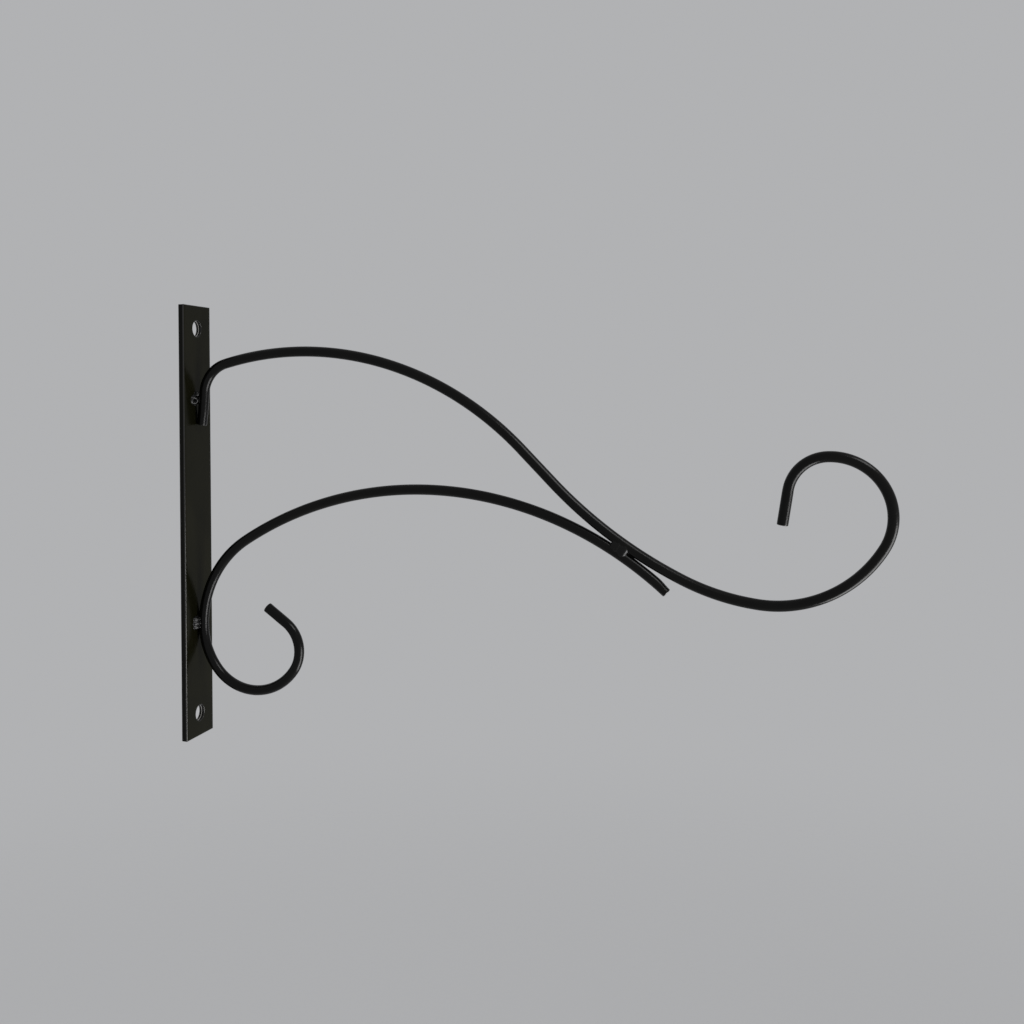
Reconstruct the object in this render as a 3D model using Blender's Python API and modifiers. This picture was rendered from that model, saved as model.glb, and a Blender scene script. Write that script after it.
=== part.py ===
"""Wall plant hook: a drilled wall plate, a bent hook arm, a scrolled brace and three weld beads.

Lengths are in metres and turns in degrees. The origin is the middle of the plate's back face,
+X points out from the wall, +Y runs across the plate and +Z is up. Both bars lie in the plane Y = 0.
"""

import math

import bmesh
import bpy
from mathutils import Matrix, Vector

# Wall plate, sawn from flat strip
PLATE_HEIGHT = 0.216
PLATE_WIDTH = 0.025
PLATE_THICKNESS = 0.003
PLATE_EDGE_BREAK = 0.0004
SCREW_HOLE_DIAMETER = 0.008
SCREW_HOLE_INSET = 0.0115

# Round bar that both the arm and the brace are bent from
BAR_DIAMETER = 0.005
BAR_EDGE_BREAK = 0.0004
SHEAR_PINCH_LENGTH = 0.004
SHEAR_PINCH_SHARE = 0.16
SEAT_GAP = 0.0003

# Hook arm, from the welded leg over the crest and down into the hook
LEG_END_DROP = 0.0595
LEG_LEAN_TURN = 5.0
LEG_LENGTH = 0.0165
ARM_ELBOW_RADIUS = 0.016
ARM_ELBOW_TURN = 69.5
ARM_CREST_RADIUS = 0.155
ARM_CREST_TURN = 61.0
ARM_SLOPE_LENGTH = 0.021
ARM_SADDLE_RADIUS = 0.210
ARM_SADDLE_TURN = 20.0
HOOK_THROAT_RADIUS = 0.105
HOOK_THROAT_TURN = 19.0
HOOK_BOWL_RADIUS = 0.054
HOOK_BOWL_TURN = 66.0
HOOK_CROWN_RADIUS = 0.026
HOOK_CROWN_TURN = 123.5
HOOK_NOSE_RADIUS = 0.0175
HOOK_NOSE_TURN = 78.5
HOOK_TIP_LENGTH = 0.0155

# Scrolled brace, seated on the plate and tangent beneath the arm
BRACE_SEAT_RISE = 0.0565
BRACE_SHOULDER_RADIUS = 0.051
BRACE_JOINT_SHARE = 0.62
BRACE_OVERRUN_TURN = 7.5
BRACE_TAIL_LENGTH = 0.003
CURL_OUTER_RADIUS = 0.035
CURL_OUTER_TURN = 38.0
CURL_RADIUS = 0.026
CURL_TURN = 106.5
CURL_INNER_RADIUS = 0.017
CURL_INNER_TURN = 89.5
CURL_TIP_LENGTH = 0.0125

# Weld beads, all laid from the same side of the bars
UPPER_BEAD_LENGTH = 0.0048
UPPER_BEAD_FOOT = 0.0066
UPPER_BEAD_RISE = 0.0125
LOWER_BEAD_LENGTH = 0.0068
LOWER_BEAD_FOOT = 0.0058
LOWER_BEAD_RISE = 0.001
PLATE_BEAD_HEIGHT = 0.0042
JOINT_BEAD_LENGTH = 0.0096
JOINT_BEAD_WIDTH = 0.0068
JOINT_BEAD_CROWN = 0.0016
JOINT_BEAD_SETBACK = 0.0024
BEAD_RIPPLE_SHARE = 0.62
BEAD_END_SHARE = 0.88

# Facets, and the overrun that carries a cutter past a face
BEND_CHORD_ERROR = 0.00003
LONGEST_STRAIGHT_FACET = 0.012
BAR_BEVEL_RESOLUTION = 6
HOLE_SIDES = 32
BEAD_SEGMENTS = 20
BEAD_RINGS = 12
CUT_OVERRUN = 0.002
CAP_WELD_DISTANCE = 0.00001
SLIVER_WIDTH = 0.00003

BAR_RADIUS = BAR_DIAMETER / 2
PLATE_FACE_X = PLATE_THICKNESS
SEAT_LINE_X = PLATE_FACE_X + SEAT_GAP + BAR_RADIUS

COAT_COLOUR = (0.012, 0.012, 0.012, 1.0)
BEAD_COLOUR = (0.016, 0.016, 0.015, 1.0)


def clear_scene():
    """Remove whatever the scene holds."""
    for item in list(bpy.data.objects):
        bpy.data.objects.remove(item, do_unlink=True)


def make_collection(name):
    """A collection linked to the scene."""
    collection = bpy.data.collections.new(name)
    bpy.context.scene.collection.children.link(collection)
    return collection


def coat_material(name, colour, roughness):
    """Powder coat: a dark, satin, non-metallic skin."""
    material = bpy.data.materials.new(name)
    material.use_nodes = True
    shader = material.node_tree.nodes["Principled BSDF"]
    shader.inputs["Base Color"].default_value = colour
    shader.inputs["Roughness"].default_value = roughness
    shader.inputs["Metallic"].default_value = 0.0
    return material


def move_to(item, collection):
    """Put an object in one collection only."""
    for old in list(item.users_collection):
        old.objects.unlink(item)
    collection.objects.link(item)


def as_cutter(item, collection):
    """Keep a cutter out of the render and out of the model's collection."""
    move_to(item, collection)
    item.hide_render = True
    item.display_type = "WIRE"
    return item


def shade_round(item):
    """Smooth shading that keeps the sheared ends and cut edges sharp."""
    item.data.shade_smooth()
    item.data.set_sharp_from_angle(angle=math.radians(40))


# Bend schedules

def straight(length):
    """A straight run of bar."""
    return (length, 0.0)


def bend(radius, turn):
    """A bend of the bar's centre line; a positive turn goes to the left of the heading."""
    return (radius * math.radians(abs(turn)), turn)


def advance(point, heading, length, turn):
    """The point and heading at the end of a run of the given length and turn."""
    half = math.radians(turn) / 2
    chord = length * math.sin(half) / half if turn else length
    aim = math.radians(heading) + half
    step = Vector((math.cos(aim), 0.0, math.sin(aim))) * chord
    return point + step, heading + turn


def facet_count(length, turn):
    """Facets that keep a bend within the chord error, or a straight within its longest facet."""
    if not turn:
        return math.ceil(length / LONGEST_STRAIGHT_FACET)
    radius = length / math.radians(abs(turn))
    widest = 2 * math.acos(1 - BEND_CHORD_ERROR / radius)
    return math.ceil(math.radians(abs(turn)) / widest)


def follow(start, heading, schedule):
    """Centre-line points and headings along a bend schedule."""
    point = Vector(start)
    line = [(point, heading)]
    for length, turn in schedule:
        count = facet_count(length, turn)
        for _ in range(count):
            point, heading = advance(point, heading, length / count, turn / count)
            line.append((point, heading))
    return line


def left_of(heading):
    """The unit vector square to a heading, on its left in the plane of the bars."""
    angle = math.radians(heading)
    return Vector((-math.sin(angle), 0.0, math.cos(angle)))


def along(heading):
    """The unit vector of a heading in the plane of the bars."""
    angle = math.radians(heading)
    return Vector((math.cos(angle), 0.0, math.sin(angle)))


def arm_start():
    """The leg's lower end, whose wall side stands one seat gap off the plate."""
    lean = math.radians(LEG_LEAN_TURN)
    x = PLATE_FACE_X + SEAT_GAP + BAR_RADIUS * math.cos(lean)
    return Vector((x, 0.0, PLATE_HEIGHT / 2 - LEG_END_DROP)), 90 - LEG_LEAN_TURN


def arm_back():
    """Runs of the hook arm from the leg to the foot of the slope."""
    return [
        straight(LEG_LENGTH),
        bend(ARM_ELBOW_RADIUS, -ARM_ELBOW_TURN),
        bend(ARM_CREST_RADIUS, -ARM_CREST_TURN),
        straight(ARM_SLOPE_LENGTH),
    ]


def arm_front():
    """Runs of the hook arm from the saddle that the brace touches to the hook's tip."""
    return [
        bend(ARM_SADDLE_RADIUS, ARM_SADDLE_TURN),
        bend(HOOK_THROAT_RADIUS, HOOK_THROAT_TURN),
        bend(HOOK_BOWL_RADIUS, HOOK_BOWL_TURN),
        bend(HOOK_CROWN_RADIUS, HOOK_CROWN_TURN),
        bend(HOOK_NOSE_RADIUS, HOOK_NOSE_TURN),
        straight(HOOK_TIP_LENGTH),
    ]


def arm_line():
    """Centre line of the hook arm."""
    start, heading = arm_start()
    return follow(start, heading, arm_back() + arm_front())


def joint_on_arm():
    """The arm's centre-line point and heading where the brace touches it, within the saddle bend."""
    point, heading = arm_start()
    for length, turn in arm_back():
        point, heading = advance(point, heading, length, turn)
    length, turn = bend(ARM_SADDLE_RADIUS, ARM_SADDLE_TURN)
    return advance(point, heading, length * BRACE_JOINT_SHARE, turn * BRACE_JOINT_SHARE)


def brace_seat():
    """The brace's centre-line point where it touches the plate."""
    return Vector((SEAT_LINE_X, 0.0, BRACE_SEAT_RISE - PLATE_HEIGHT / 2))


def brace_rise():
    """Runs of the brace from its seat up to the tail.

    The shoulder bend leaves the seat square up the plate. The long bend follows it without a kink
    and has the radius that lets it run tangent beneath the arm, one bar diameter and a gap away.
    """
    joint, heading = joint_on_arm()
    normal = left_of(heading)
    touch = joint - normal * (BAR_DIAMETER + SEAT_GAP)
    shoulder = brace_seat() + Vector((BRACE_SHOULDER_RADIUS, 0.0, 0.0))
    span = touch - shoulder
    long_radius = (span.length_squared - BRACE_SHOULDER_RADIUS**2) / (
        2 * (span.dot(normal) - BRACE_SHOULDER_RADIUS)
    )
    centre = touch - normal * long_radius
    meeting = (shoulder - centre).normalized()
    shoulder_turn = math.degrees(math.atan2(meeting.z, -meeting.x))
    long_turn = 90 - shoulder_turn - heading + BRACE_OVERRUN_TURN
    return [
        bend(BRACE_SHOULDER_RADIUS, -shoulder_turn),
        bend(long_radius, -long_turn),
        straight(BRACE_TAIL_LENGTH),
    ]


def brace_curl():
    """Runs of the brace from its seat down and round to the curl's tip."""
    return [
        bend(CURL_OUTER_RADIUS, CURL_OUTER_TURN),
        bend(CURL_RADIUS, CURL_TURN),
        bend(CURL_INNER_RADIUS, CURL_INNER_TURN),
        straight(CURL_TIP_LENGTH),
    ]


def brace_line():
    """Centre line of the brace, from the tail back over the seat to the curl's tip."""
    rise = follow(brace_seat(), 90, brace_rise())
    back = [(point, heading - 180) for point, heading in reversed(rise)]
    curl = follow(brace_seat(), -90, brace_curl())
    return back + curl[1:]


# Bars

def blunt_end(line, radii, at_start):
    """Break the edge of a sawn end: one short ring at full size, then a smaller end ring."""
    end, heading = line[0] if at_start else line[-1]
    inward = along(heading) if at_start else -along(heading)
    shoulder = (end + inward * BAR_EDGE_BREAK, heading)
    if at_start:
        line.insert(1, shoulder)
        radii.insert(1, radii[0])
        radii[0] -= BAR_EDGE_BREAK
    else:
        line.insert(-1, shoulder)
        radii.insert(-1, radii[-1])
        radii[-1] -= BAR_EDGE_BREAK


def sheared_end(line, radii):
    """Draw the first few millimetres down on one side, as a shear leaves a cropped bar."""
    end, heading = line[0]
    inward = along(heading)
    while (line[1][0] - end).length < SHEAR_PINCH_LENGTH:
        del line[1]
        del radii[1]
    loss = BAR_RADIUS * SHEAR_PINCH_SHARE
    side = left_of(heading)
    full = (end + inward * SHEAR_PINCH_LENGTH, heading)
    half = (end + inward * (SHEAR_PINCH_LENGTH / 2) + side * (loss / 4), heading)
    line[0:1] = [(end + side * loss, heading), half, full]
    radii[0:1] = [BAR_RADIUS - loss, BAR_RADIUS - loss / 4, BAR_RADIUS]


def tube_curve(name, line, radii, collection):
    """A round bar along a centre line, with a radius for each point."""
    curve = bpy.data.curves.new(name, "CURVE")
    curve.dimensions = "3D"
    curve.bevel_depth = BAR_RADIUS
    curve.bevel_resolution = BAR_BEVEL_RESOLUTION
    curve.use_fill_caps = True
    spline = curve.splines.new("POLY")
    spline.points.add(len(line) - 1)
    for knot, (point, _), radius in zip(spline.points, line, radii):
        knot.co = (*point, 1.0)
        knot.radius = radius / BAR_RADIUS
    item = bpy.data.objects.new(name, curve)
    collection.objects.link(item)
    return item


def mesh_from_curve(curve_item, name, collection):
    """A closed mesh of a curve, with its loose caps welded on; the curve is removed."""
    graph = bpy.context.evaluated_depsgraph_get()
    mesh = bpy.data.meshes.new_from_object(curve_item.evaluated_get(graph))
    mesh.name = name
    work = bmesh.new()
    work.from_mesh(mesh)
    bmesh.ops.remove_doubles(work, verts=work.verts, dist=CAP_WELD_DISTANCE)
    work.to_mesh(mesh)
    work.free()
    item = bpy.data.objects.new(name, mesh)
    item.matrix_world = curve_item.matrix_world.copy()
    collection.objects.link(item)
    bpy.data.objects.remove(curve_item, do_unlink=True)
    return item


def bar(name, line, material, model, has_shear):
    """One bent bar with its two ends worked."""
    line = list(line)
    radii = [BAR_RADIUS] * len(line)
    if has_shear:
        sheared_end(line, radii)
    blunt_end(line, radii, at_start=True)
    blunt_end(line, radii, at_start=False)
    curve_item = tube_curve(name + "_curve", line, radii, model)
    item = mesh_from_curve(curve_item, name, model)
    item.data.materials.append(material)
    shade_round(item)
    return item


def bar_clearance(name, line, cutters):
    """The space that a bar takes with its seat gap all round, used to cut the beads."""
    radii = [BAR_RADIUS + SEAT_GAP] * len(line)
    curve_item = tube_curve(name + "_curve", line, radii, cutters)
    return as_cutter(mesh_from_curve(curve_item, name, cutters), cutters)


def make_hook_arm(model):
    """The long bar: leg, elbow, crest, slope and hook."""
    material = coat_material("hook_arm_coat", COAT_COLOUR, 0.42)
    return bar("hook_arm", arm_line(), material, model, has_shear=True)


def make_scroll_brace(model):
    """The short bar: tail, long bend, shoulder and curl."""
    material = coat_material("scroll_brace_coat", COAT_COLOUR, 0.42)
    return bar("scroll_brace", brace_line(), material, model, has_shear=True)


# Wall plate

def box(name, low, high, collection):
    """A box between two corners, with its scale applied."""
    bpy.ops.mesh.primitive_cube_add(size=1)
    item = bpy.context.object
    item.name = name
    item.data.name = name
    size = high - low
    item.data.transform(Matrix.Diagonal((*size, 1.0)))
    item.location = (low + high) / 2
    move_to(item, collection)
    return item


def boolean(item, cutter, operation):
    """Add a Boolean modifier."""
    modifier = item.modifiers.new(operation.title(), "BOOLEAN")
    modifier.operation = operation
    modifier.solver = "EXACT"
    modifier.object = cutter
    return modifier


def screw_hole(name, z, cutters):
    """The cutter for one screw hole, through the plate from front to back."""
    bpy.ops.mesh.primitive_cylinder_add(
        vertices=HOLE_SIDES,
        radius=SCREW_HOLE_DIAMETER / 2,
        depth=PLATE_THICKNESS + 2 * CUT_OVERRUN,
        location=(PLATE_THICKNESS / 2, 0.0, z),
        rotation=(0.0, math.radians(90), 0.0),
    )
    item = bpy.context.object
    item.name = name
    item.data.name = name
    return as_cutter(item, cutters)


def make_wall_plate(model, cutters):
    """The flat strip with a screw hole near each end and its edges broken."""
    low = Vector((0.0, -PLATE_WIDTH / 2, -PLATE_HEIGHT / 2))
    high = Vector((PLATE_THICKNESS, PLATE_WIDTH / 2, PLATE_HEIGHT / 2))
    plate = box("wall_plate", low, high, model)
    hole_z = PLATE_HEIGHT / 2 - SCREW_HOLE_INSET
    boolean(plate, screw_hole("upper_screw_hole", hole_z, cutters), "DIFFERENCE")
    boolean(plate, screw_hole("lower_screw_hole", -hole_z, cutters), "DIFFERENCE")
    edges = plate.modifiers.new("Edge break", "BEVEL")
    edges.width = PLATE_EDGE_BREAK
    edges.segments = 2
    edges.limit_method = "ANGLE"
    edges.angle_limit = math.radians(40)
    plate.data.materials.append(coat_material("wall_plate_coat", COAT_COLOUR, 0.45))
    shade_round(plate)
    return plate


# Weld beads

def lump(name, centre, radii, roll, heading, collection):
    """One squashed ball of weld metal: rolled about its long axis, then laid along a heading."""
    bpy.ops.mesh.primitive_uv_sphere_add(segments=BEAD_SEGMENTS, ring_count=BEAD_RINGS, radius=1)
    item = bpy.context.object
    item.name = name
    item.data.name = name
    rolled = Matrix.Rotation(math.radians(roll), 4, "X")
    laid = Matrix.Rotation(math.radians(-heading), 4, "Y")
    item.data.transform(laid @ Matrix.Diagonal((*radii, 1.0)) @ rolled)
    item.location = centre
    move_to(item, collection)
    return item


def bead(name, centre, length, width, crown, heading, clearances, model, cutters):
    """A weld bead of three overlapping lumps, laid along a heading and cut clear of its neighbours."""
    half_turn = 180 / BEAD_SEGMENTS
    radii = Vector((length * BEAD_RIPPLE_SHARE / 2, crown, width / 2))
    item = lump(name, centre, radii, 0, heading, model)
    end_radii = radii * BEAD_END_SHARE
    reach = along(heading) * (length / 2 - end_radii.x)
    for place, label in ((centre - reach, "first"), (centre + reach, "last")):
        end = lump(f"{name}_{label}_lump", place, end_radii, half_turn, heading, cutters)
        boolean(item, as_cutter(end, cutters), "UNION")
    for clearance in clearances:
        boolean(item, clearance, "DIFFERENCE")
    tidy = item.modifiers.new("Sliver weld", "WELD")
    tidy.merge_threshold = SLIVER_WIDTH
    item.data.materials.append(coat_material(name + "_coat", BEAD_COLOUR, 0.38))
    shade_round(item)
    return item


def plate_clearance(cutters):
    """The space that the plate takes with its seat gap in front."""
    low = Vector((-CUT_OVERRUN - PLATE_WIDTH, -PLATE_WIDTH, -PLATE_HEIGHT))
    high = Vector((PLATE_FACE_X + SEAT_GAP, PLATE_WIDTH, PLATE_HEIGHT))
    return as_cutter(box("plate_clearance", low, high, cutters), cutters)


def plate_bead(name, z, length, foot, clearances, model, cutters):
    """A bead in the corner between the plate's face and a bar on it, from the bar's middle outwards."""
    centre = Vector((PLATE_FACE_X, -foot / 2, z))
    return bead(
        name, centre, length, 2 * PLATE_BEAD_HEIGHT, foot / 2, 90, clearances, model, cutters
    )


def make_upper_plate_weld(clearances, model, cutters):
    """The bead that bridges the plate and the arm's leg."""
    z = arm_start()[0].z + UPPER_BEAD_RISE
    return plate_bead("upper_plate_weld", z, UPPER_BEAD_LENGTH, UPPER_BEAD_FOOT, clearances, model, cutters)


def make_lower_plate_weld(clearances, model, cutters):
    """The bead between the plate and the brace, at the brace's seat."""
    z = brace_seat().z + LOWER_BEAD_RISE
    return plate_bead("lower_plate_weld", z, LOWER_BEAD_LENGTH, LOWER_BEAD_FOOT, clearances, model, cutters)


def make_arm_brace_weld(clearances, model, cutters):
    """The bead that fills the groove between the arm and the brace."""
    joint, heading = joint_on_arm()
    middle = joint - left_of(heading) * ((BAR_DIAMETER + SEAT_GAP) / 2)
    centre = middle - along(heading) * JOINT_BEAD_SETBACK + Vector((0.0, -BAR_RADIUS, 0.0))
    return bead(
        "arm_brace_weld", centre, JOINT_BEAD_LENGTH, JOINT_BEAD_WIDTH, JOINT_BEAD_CROWN,
        heading, clearances, model, cutters,
    )


def main():
    """Build the plant hook."""
    clear_scene()
    model = make_collection("wall_plant_hook")
    cutters = make_collection("cutters")
    make_wall_plate(model, cutters)
    make_hook_arm(model)
    make_scroll_brace(model)
    arm_space = bar_clearance("arm_clearance", arm_line(), cutters)
    brace_space = bar_clearance("brace_clearance", brace_line(), cutters)
    plate_space = plate_clearance(cutters)
    make_upper_plate_weld([plate_space, arm_space], model, cutters)
    make_lower_plate_weld([plate_space, brace_space], model, cutters)
    make_arm_brace_weld([arm_space, brace_space], model, cutters)


main()
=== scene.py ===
"""Looks of the wall plant hook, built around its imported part.

Lengths are in metres and turns in degrees, in the part's own frame: the plate's back face lies in
the plane X = 0, both bars lie in the plane Y = 0 and +Z is up. Each visible piece is a fine mesh of
the powder-coated steel as it leaves the workshop, and stands for the plain piece of the same name.
"""

import math

import bmesh
import bpy
from mathutils import Matrix, Vector, noise


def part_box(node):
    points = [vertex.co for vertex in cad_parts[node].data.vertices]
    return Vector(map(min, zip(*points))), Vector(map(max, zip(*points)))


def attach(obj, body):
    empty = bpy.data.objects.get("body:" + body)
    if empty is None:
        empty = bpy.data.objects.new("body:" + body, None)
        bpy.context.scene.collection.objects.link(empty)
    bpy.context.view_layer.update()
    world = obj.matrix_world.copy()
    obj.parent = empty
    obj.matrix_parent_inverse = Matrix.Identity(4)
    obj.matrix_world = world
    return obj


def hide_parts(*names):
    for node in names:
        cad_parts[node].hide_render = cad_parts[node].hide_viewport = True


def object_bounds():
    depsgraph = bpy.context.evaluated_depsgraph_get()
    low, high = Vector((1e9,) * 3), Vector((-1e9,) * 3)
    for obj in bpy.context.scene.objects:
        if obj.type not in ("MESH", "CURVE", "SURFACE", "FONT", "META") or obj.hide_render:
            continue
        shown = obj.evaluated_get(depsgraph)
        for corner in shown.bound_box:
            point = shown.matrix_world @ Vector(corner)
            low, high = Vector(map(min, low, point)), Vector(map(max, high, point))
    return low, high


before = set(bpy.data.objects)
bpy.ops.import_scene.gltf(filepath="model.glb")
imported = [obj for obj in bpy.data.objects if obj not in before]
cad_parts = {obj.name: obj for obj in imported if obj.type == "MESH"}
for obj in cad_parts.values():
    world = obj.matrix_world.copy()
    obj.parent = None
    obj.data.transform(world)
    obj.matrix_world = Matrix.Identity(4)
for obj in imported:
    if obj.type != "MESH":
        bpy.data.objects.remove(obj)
CAD_LOW, CAD_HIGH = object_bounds()

# Wall plate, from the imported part, with its worked edges
PLATE_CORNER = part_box("wall_plate")[1]
PLATE_THICKNESS = PLATE_CORNER.x
PLATE_EDGE_RADIUS = 0.0004
PLATE_EDGE_STEPS = 5
PLATE_BACK_EDGE_STEPS = 4
PLATE_CORNER_FACETS = 5
SIDE_ROW_SHARES = (0.3, 0.45, 0.6, 0.75)
SCREW_HOLE_RADIUS = 0.004
SCREW_HOLE_INSET = 0.0115
SCREW_HOLE_RISE = PLATE_CORNER.z - SCREW_HOLE_INSET
HOLE_RIM_RADIUS = 0.0003
HOLE_RIM_STEPS = 5
HOLE_BACK_RIM_RADIUS = 0.0002
HOLE_BACK_RIM_STEPS = 3
HOLE_UPPER_ROW_SHARE = 0.3
HOLE_LAND_SHARE = 0.50
HOLE_BREAKOUT = 0.0001
HOLE_RIDGE = 0.00005
HOLE_RIDGE_HALF_SHARE = 0.03
HOLE_RIDGE_FOOT_SHARE = 0.08
SHEAR_WANDER = 0.00016
SHEAR_WAVES_ACROSS = 3
SHEAR_WAVES_DEEP = 2
SHEAR_EASE_SHARE = 0.25
SHEAR_BREAKOUT = 0.00012
SHEAR_BURNISH_SHARE = 0.35
STRIP_WANDER = 0.00006
FACE_COLUMNS = 16
FACE_ROW_STEP = 0.0018
FACE_RING_SHARES = (0, 0.03, 0.09, 0.18, 0.30, 0.46, 0.64, 0.82, 1)

# Round bar that both the arm and the brace are bent from
BAR_RADIUS = 0.0025
BAR_SIDES = 44
BAR_RING_STEP = 0.0011
SEAT_SINK = 0.00003
TIP_EDGE_RADIUS = 0.0004
TIP_TRIM_SHARE = 1.5
SHEAR_PINCH_LENGTH = 0.0070
BEND_FLATTENING_SHARE = 0.10
CAP_RING_SHARES = (0.8, 0.55, 0.3)
CAP_RELIEF = 0.00006
CAP_RELIEF_WAVES = 3

# Hook arm, from the welded leg over the crest and down into the hook; a bend is radius and turn
LEG_END_DROP = 0.0595
LEG_LEAN_TURN = 5.0
LEG_LENGTH = 0.0165
LEG_END_SLANT = 5.0
LEG_PINCH_SHARE = 0.05
ARM_ELBOW = (0.016, -69.5)
ARM_CREST = (0.155, -61.0)
ARM_SLOPE_LENGTH = 0.021
ARM_SADDLE = (0.210, 20.0)
HOOK_THROAT = (0.105, 19.0)
HOOK_BOWL = (0.054, 66.0)
HOOK_CROWN = (0.026, 123.5)
HOOK_NOSE = (0.0175, 78.5)
HOOK_TIP_LENGTH = 0.0155

# Scrolled brace, seated on the plate and tangent beneath the arm; its curl's bends likewise
BRACE_SEAT_RISE = 0.0565
BRACE_SHOULDER_RADIUS = 0.051
BRACE_JOINT_SHARE = 0.62
BRACE_OVERRUN_TURN = 7.5
BRACE_TAIL_LENGTH = 0.003
TAIL_END_SLANT = 3.0
TAIL_PINCH_SHARE = 0.13
CURL_OUTER = (0.035, 38.0)
CURL_MIDDLE = (0.026, 106.5)
CURL_INNER = (0.017, 89.5)
CURL_TIP_LENGTH = 0.0125

# Weld beads, all laid from the side of the bars that faces -Y; a size is half of each extent
WELD_VOXEL = 0.00012
WELD_RELAX_STEPS = 14
WELD_SINK = 0.00006
LUMP_SUBDIVISIONS = 4
UPPER_BEAD_RISE = 0.0125
UPPER_BEAD_PLACE = Vector((-0.0006, -0.0034, 0.0))
UPPER_BEAD_SIZE = Vector((0.0023, 0.0039, 0.0027))
UPPER_BEAD_FACE = Vector((0.80, -0.54, -0.20)).normalized()
UPPER_DAB_PLACE = Vector((0.0006, -0.0014, 0.0030))
UPPER_DAB_SIZE = Vector((0.0015, 0.0018, 0.0015))
LOWER_BEAD_RISE = 0.001
LOWER_BEAD_PLACE = Vector((-0.0003, -0.0034, 0.0))
LOWER_BEAD_SIZE = Vector((0.0020, 0.0036, 0.0015))
LOWER_BEAD_FACE = Vector((0.83, -0.54, -0.06)).normalized()
LOWER_RIPPLE_PITCH = 0.0020
JOINT_BEAD_LENGTH = 0.0078
JOINT_BEAD_SETBACK = 0.0024
JOINT_LUMP_SIZE = Vector((0.0031, 0.0019, 0.0018))

# Ripples of the lower bead: place in pitches, size share
LOWER_RIPPLES = ((-1, 0.86), (0, 1.0), (1, 0.9))

# Ripples of the joint's bead: share of its length along it, size share, rise in bar radii
JOINT_RIPPLES = ((-0.46, 0.84, 0.50), (-0.22, 0.98, 0.50), (0.02, 0.98, 0.46), (0.20, 1.30, 0.28))

# Crater in the upper bead: heights are shares of its depth, places and widths of its radius
CRATER_RADIUS = 0.0010
CRATER_DEPTH = 0.0011
CRATER_BOWL_SHARE = 0.7
CRATER_CORE_SHARE = 0.5
CRATER_CORE_WIDTH_SHARE = 0.6
CRATER_LIP_SHARE = 0.12
CRATER_LIP_PLACE_SHARE = 1.5
CRATER_LIP_SHARPNESS = 3

# How far a bead melts along the bar and over the plate, as shares of its half height
UPPER_BAR_PATCH_SHARE = 2.6
UPPER_PLATE_PATCH_SHARE = 2.0
LOWER_BAR_PATCH_SHARE = 4.0
LOWER_PLATE_PATCH_SHARE = 2.8

# Points of two rows that lie closer than this are one point
JOIN_DISTANCE = 0.000002

# Surface irregularities, all taken inwards from the true size
BAR_WAVE_DEPTH = 0.000022
BAR_WAVE_LENGTH = 0.007
PLATE_WAVE_DEPTH = 0.00005
PLATE_WAVE_LENGTH = 0.018
ARM_SEED = 1.0
BRACE_SEED = 2.0
PLATE_SEED = 3.0
STRIP_SEED = 4.0

# Worked-edge values on the vertices: 0 is a plain face, 1 the sharpest edge and 2 the ridge in a
# bore that carries a painted highlight
PLAIN = 0.0
# From SIDE_EDGE up a vertex takes its look's side colour; on the plate this is painted light, so
# its narrow sides, rounded edges, rims and bores are lighter and cooler
SIDE_EDGE = 0.15
BORE_EDGE = 0.2
CAP_FACE_EDGE = 0.35
RIM_EDGE = 0.8
FULL_EDGE = 1.0
PAINTED_GLINT_EDGE = 2.0

# Worked-edge values of the rows that round off a bar's end, one row for each
CAP_EDGES = (0.6, 1.0, 1.0, 0.8)

# Camera at the photograph's viewing angle; the frame is 1024 x 1024 pixels
FRAME_PIXELS = 1024
FOCAL_PIXELS = 1150.16
AXIS_ROW_PIXEL = 433.42
SENSOR_WIDTH_MM = 36.0
CAMERA_PLACE = Vector((0.30679, -0.51312, 0.06219))
CAMERA_AZIMUTH = 15.346
CAMERA_PITCH = 1.782

# Studio
FLOOR_DROP = 1.5
FLOOR_RADIUS = 6.0
FLOOR_FADE = (2.2, 5.0)
STUDIO_PALE = (0.44, 0.444, 0.454, 1.0)
STUDIO_FILL = 0.48
WHITE = (1.0, 1.0, 1.0, 1.0)
FLOOR_TONE = (0.80, 0.807, 0.825, 1.0)
FLOOR_SEGMENTS = 96
FLOOR_ROUGHNESS = 0.9
FLOOR_SHINE = 0.1
UPPER_SOFTBOX = {"place": (0.90, -0.26, 0.88), "size": (0.60, 0.32), "power": 4.6}
LOWER_SOFTBOX = {"place": (0.745, -0.08, -0.41), "size": (0.40, 0.70), "power": 9.4}
SHOWN_RAYS = ("Is Camera Ray", "Is Glossy Ray", "Is Transmission Ray")

# Where each mask of the coats starts and is full, on its own scale
NIB_CHOICE = (0.80, 0.82)
NIB_REACH = (0.16, 0.0)
TONE_SWING = (0.34, 0.66)
GLOSS_SWING = (0.36, 0.64)
THIN_BREAKS = (0.35, 0.7)
THIN_EDGES = (0.45, 1.0)
DUST_SLOPE = (0.25, 1.0)
DUST_PATCHES = (0.38, 0.72)
RUB_LINES = (0.58, 0.74)
RUB_PATCHES = (0.45, 0.65)
# Painted light: the band over which worked faces turn to the look's lighter side colour
PAINTED_SIDE_LIGHT_BAND = (0.05, 0.15)
POOLED_EDGES = (0.3, 0.9)
# Painted highlight: the band where a bore's ridge turns light grey
PAINTED_GLINT_BAND = (1.3, 1.9)

# Detail and roughness of the noise in each layer of the coats
PEEL_NOISE = (1.5, 0.5)
GRAIN_NOISE = (1.0, 0.5)
TONE_NOISE = (4.0, 0.6)
BROAD_GLOSS_NOISE = (3.0, 0.6)
FINE_GLOSS_NOISE = (2.0, 0.5)
THIN_NOISE = (3.0, 0.6)
DUST_NOISE = (4.0, 0.65)
RUB_LINE_NOISE = (3.0, 0.7)
RUB_PATCH_NOISE = (2.0, 0.5)

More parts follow.
